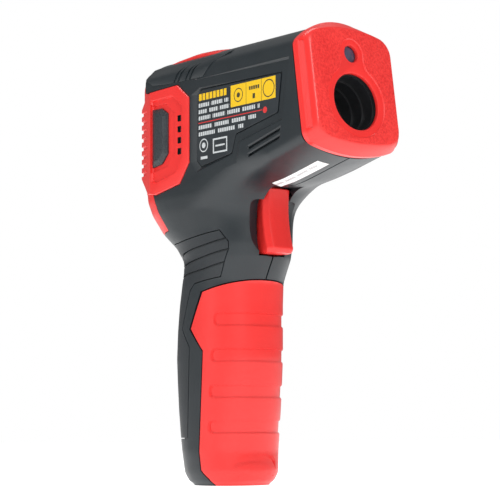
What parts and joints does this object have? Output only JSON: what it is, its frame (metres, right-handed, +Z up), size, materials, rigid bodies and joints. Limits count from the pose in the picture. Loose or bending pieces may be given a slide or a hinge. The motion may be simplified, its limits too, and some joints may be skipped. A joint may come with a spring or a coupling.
{
  "type": "infrared thermometer",
  "caption": "Pistol-grip infrared thermometer with a stepped sensing barrel, laser pointer, spring trigger, rear display with keys, and a front grip door over its battery.",
  "frame": {"origin": "centre of the bounding box at the grip's base", "axes": "+X is the way the instrument points, +Y is its left side, +Z is up along the grip"},
  "size_m": [0.101, 0.042, 0.1586],
  "materials": {
    "charcoal_plastic": "satin moulded ABS",
    "soft_grip": "matt soft-touch overmould",
    "red_plastic": "fine spark-eroded texture",
    "black_plastic": "matt",
    "key_plastic": "matt",
    "steel": "plated",
    "window": "clear, polished",
    "lcd_glass": "reflective display",
    "board": "green solder mask",
    "infrared_plastic": "milky polyethylene",
    "brass": "turned",
    "laser_glass": "tinted",
    "label_film": "printed film",
    "sticker": "paper",
    "battery_case": "printed steel can",
    "lead_red": "PVC sleeve",
    "lead_black": "PVC sleeve",
    "lead_cream": "PVC sleeve",
    "lead_orange": "PVC sleeve",
    "lead_blue": "PVC sleeve"
  },
  "bodies": {
    "housing": {"body_right": "charcoal_plastic", "body_left": "charcoal_plastic", "front_bezel": "red_plastic", "rear_bezel": "red_plastic", "side_insert_right": "charcoal_plastic", "side_insert_left": "charcoal_plastic", "grip_pad_right": "soft_grip", "grip_pad_left": "soft_grip", "door_hinge_pin": "steel", "trigger_pin": "steel", "trigger_spring": "steel", "microswitch": "black_plastic", "display_window": "window", "lcd_panel": "lcd_glass", "main_board": "board", "key_domes": "steel", "lens_barrel": "black_plastic", "infrared_lens": "infrared_plastic", "lens_retainer": "black_plastic", "sensor_can": "steel", "sensor_board": "board", "laser_module": "brass", "laser_holder": "black_plastic", "laser_window": "laser_glass", "buzzer": "black_plastic", "label_right": "label_film", "label_left": "label_film", "serial_sticker": "sticker", "battery": "battery_case", "battery_snap": "black_plastic", "battery_lead_red": "lead_red", "battery_lead_black": "lead_black", "switch_leads": "lead_cream", "laser_leads": "lead_orange", "sensor_leads": "lead_blue", "shell_screws": "steel", "board_screws": "steel"},
    "trigger": {"trigger": "red_plastic"},
    "switch_plunger": {"switch_plunger": "lead_red"},
    "battery_door": {"battery_door": "red_plastic"},
    "key_left": {"key_left": "key_plastic"},
    "key_middle": {"key_middle": "key_plastic"},
    "key_right": {"key_right": "key_plastic"}
  },
  "joints": [
    {"name": "trigger_pull", "type": "hinge", "parent": "housing", "child": "trigger", "pos_m": [0.0015, 0, 0.1055], "axis": [0, 1, 0], "range_deg": [0, 7], "stiffness_Nm_per_rad": 0.05, "springref_deg": -17.19, "deforming": ["trigger_spring"]},
    {"name": "switch_press", "type": "slide", "parent": "housing", "child": "switch_plunger", "axis": [-1, 0, 0], "range_m": [0, 0.0018]},
    {"name": "door_open", "type": "hinge", "parent": "housing", "child": "battery_door", "pos_m": [-0.009, 0, 0.005], "axis": [0, 1, 0], "range_deg": [0, 80]},
    {"name": "key_left_press", "type": "slide", "parent": "housing", "child": "key_left", "axis": [1, 0, 0], "range_m": [0, 0.0008], "stiffness_N_per_m": 200, "springref_m": -0.002},
    {"name": "key_middle_press", "type": "slide", "parent": "housing", "child": "key_middle", "axis": [1, 0, 0], "range_m": [0, 0.0008], "stiffness_N_per_m": 200, "springref_m": -0.002},
    {"name": "key_right_press", "type": "slide", "parent": "housing", "child": "key_right", "axis": [1, 0, 0], "range_m": [0, 0.0008], "stiffness_N_per_m": 200, "springref_m": -0.002}
  ],
  "couplings": [
    {"joint": "switch_press", "follows": "trigger_pull", "m_per_rad": 0.0135}
  ]
}
